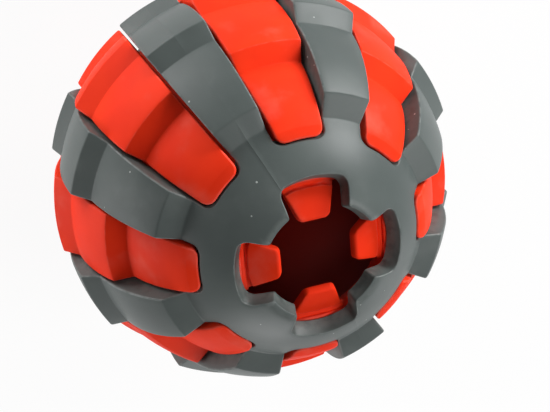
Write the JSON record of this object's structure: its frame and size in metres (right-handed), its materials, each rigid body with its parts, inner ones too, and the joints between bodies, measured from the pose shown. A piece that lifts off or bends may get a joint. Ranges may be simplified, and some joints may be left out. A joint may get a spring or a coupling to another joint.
{
  "type": "treat dispensing ball",
  "caption": "Hollow two-colour rubber ball with a stepped tread, notched openings at both poles and sprung tongues that hold treats in until the ball is rolled.",
  "frame": {"origin": "middle of the ball", "axes": "+Z along the axis through the openings, out of the opening that is filled; +X towards one of the tongues"},
  "size_m": [0.0988, 0.0988, 0.0968],
  "materials": {
    "grey_rubber": "satin moulded rubber",
    "red_rubber": "satin moulded rubber"
  },
  "bodies": {
    "ball": {"cage_left_half": "grey_rubber", "cage_right_half": "grey_rubber", "inner_ball": "red_rubber"},
    "top_tongue_1": {"top_tongue_1": "red_rubber"},
    "top_tongue_2": {"top_tongue_2": "red_rubber"},
    "top_tongue_3": {"top_tongue_3": "red_rubber"},
    "top_tongue_4": {"top_tongue_4": "red_rubber"},
    "bottom_tongue_1": {"bottom_tongue_1": "red_rubber"},
    "bottom_tongue_2": {"bottom_tongue_2": "red_rubber"},
    "bottom_tongue_3": {"bottom_tongue_3": "red_rubber"},
    "bottom_tongue_4": {"bottom_tongue_4": "red_rubber"}
  },
  "joints": [
    {"name": "top_tongue_1_flex", "type": "hinge", "parent": "ball", "child": "top_tongue_1", "pos_m": [0.0172, 0, 0.04], "axis": [0, 1, 0], "range_deg": [-55, 25], "stiffness_Nm_per_rad": 0.01},
    {"name": "top_tongue_2_flex", "type": "hinge", "parent": "ball", "child": "top_tongue_2", "pos_m": [0, 0.0172, 0.04], "axis": [-1, 0, 0], "range_deg": [-55, 25], "stiffness_Nm_per_rad": 0.01},
    {"name": "top_tongue_3_flex", "type": "hinge", "parent": "ball", "child": "top_tongue_3", "pos_m": [-0.0172, 0, 0.04], "axis": [0, -1, 0], "range_deg": [-55, 25], "stiffness_Nm_per_rad": 0.01},
    {"name": "top_tongue_4_flex", "type": "hinge", "parent": "ball", "child": "top_tongue_4", "pos_m": [0, -0.0172, 0.04], "axis": [1, 0, 0], "range_deg": [-55, 25], "stiffness_Nm_per_rad": 0.01},
    {"name": "bottom_tongue_1_flex", "type": "hinge", "parent": "ball", "child": "bottom_tongue_1", "pos_m": [0.0172, 0, -0.04], "axis": [0, -1, 0], "range_deg": [-55, 25], "stiffness_Nm_per_rad": 0.01},
    {"name": "bottom_tongue_2_flex", "type": "hinge", "parent": "ball", "child": "bottom_tongue_2", "pos_m": [0, 0.0172, -0.04], "axis": [1, 0, 0], "range_deg": [-55, 25], "stiffness_Nm_per_rad": 0.01},
    {"name": "bottom_tongue_3_flex", "type": "hinge", "parent": "ball", "child": "bottom_tongue_3", "pos_m": [-0.0172, 0, -0.04], "axis": [0, 1, 0], "range_deg": [-55, 25], "stiffness_Nm_per_rad": 0.01},
    {"name": "bottom_tongue_4_flex", "type": "hinge", "parent": "ball", "child": "bottom_tongue_4", "pos_m": [0, -0.0172, -0.04], "axis": [-1, 0, 0], "range_deg": [-55, 25], "stiffness_Nm_per_rad": 0.01}
  ]
}
